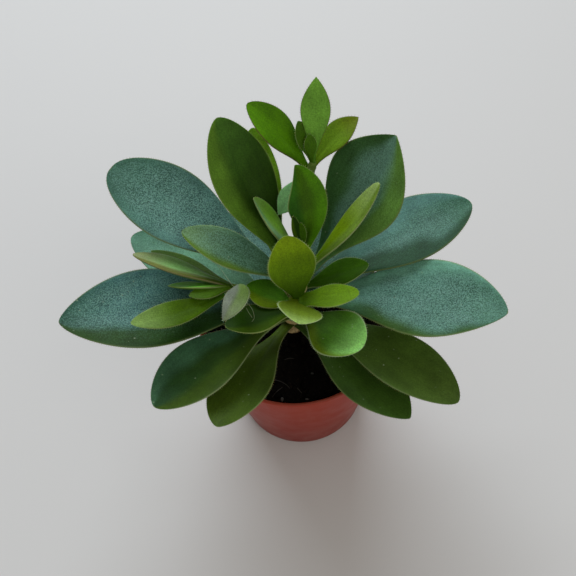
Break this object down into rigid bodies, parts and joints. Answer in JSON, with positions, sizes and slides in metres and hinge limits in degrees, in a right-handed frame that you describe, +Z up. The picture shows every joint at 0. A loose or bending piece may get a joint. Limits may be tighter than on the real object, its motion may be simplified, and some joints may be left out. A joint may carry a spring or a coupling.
{
  "type": "potted plant",
  "caption": "Young succulent with flat, thick leaves and leafy side shoots, standing in soil in a small round tapered plastic nursery pot.",
  "frame": {"origin": "middle of the pot's flat base, on the surface the pot stands on", "axes": "+Z up along the pot's axis; -Y towards the front, the side where the short front shoot grows; +X to the right as seen from the front"},
  "size_m": [0.1059, 0.0698, 0.117],
  "materials": {
    "pot_plastic": "thin terracotta-coloured plastic, satin",
    "soil": "dark crumbly peat with a few grey grains",
    "stem_bark": "smooth brown-green young bark",
    "leaf_blue_green": "fleshy leaf, blue-green with a fine bloom",
    "leaf_dark_green": "fleshy leaf, dark green, satin",
    "leaf_mid_green": "young fleshy leaf, mid green, pale rim",
    "leaf_young_green": "young fleshy leaf, yellow-green, pale rim"
  },
  "bodies": {
    "root": {"pot": "pot_plastic", "soil": "soil", "main_stem": "stem_bark", "leaf_front_left": "leaf_dark_green", "leaf_front_right": "leaf_dark_green", "leaf_back_left_low": "leaf_dark_green", "leaf_left_low": "leaf_blue_green", "leaf_right_front": "leaf_dark_green", "leaf_back_right_low": "leaf_dark_green", "leaf_left_front": "leaf_dark_green", "leaf_left": "leaf_blue_green", "leaf_right": "leaf_blue_green", "leaf_back_narrow": "leaf_dark_green", "leaf_right_upper": "leaf_blue_green", "leaf_right_small": "leaf_dark_green", "leaf_left_upper": "leaf_blue_green", "leaf_back_right": "leaf_dark_green", "leaf_left_young": "leaf_blue_green", "leaf_back_left": "leaf_dark_green", "top_shoot": "leaf_mid_green", "front_shoot": "leaf_young_green", "left_shoot": "leaf_mid_green", "back_shoot": "leaf_mid_green"}
  },
  "joints": []
}
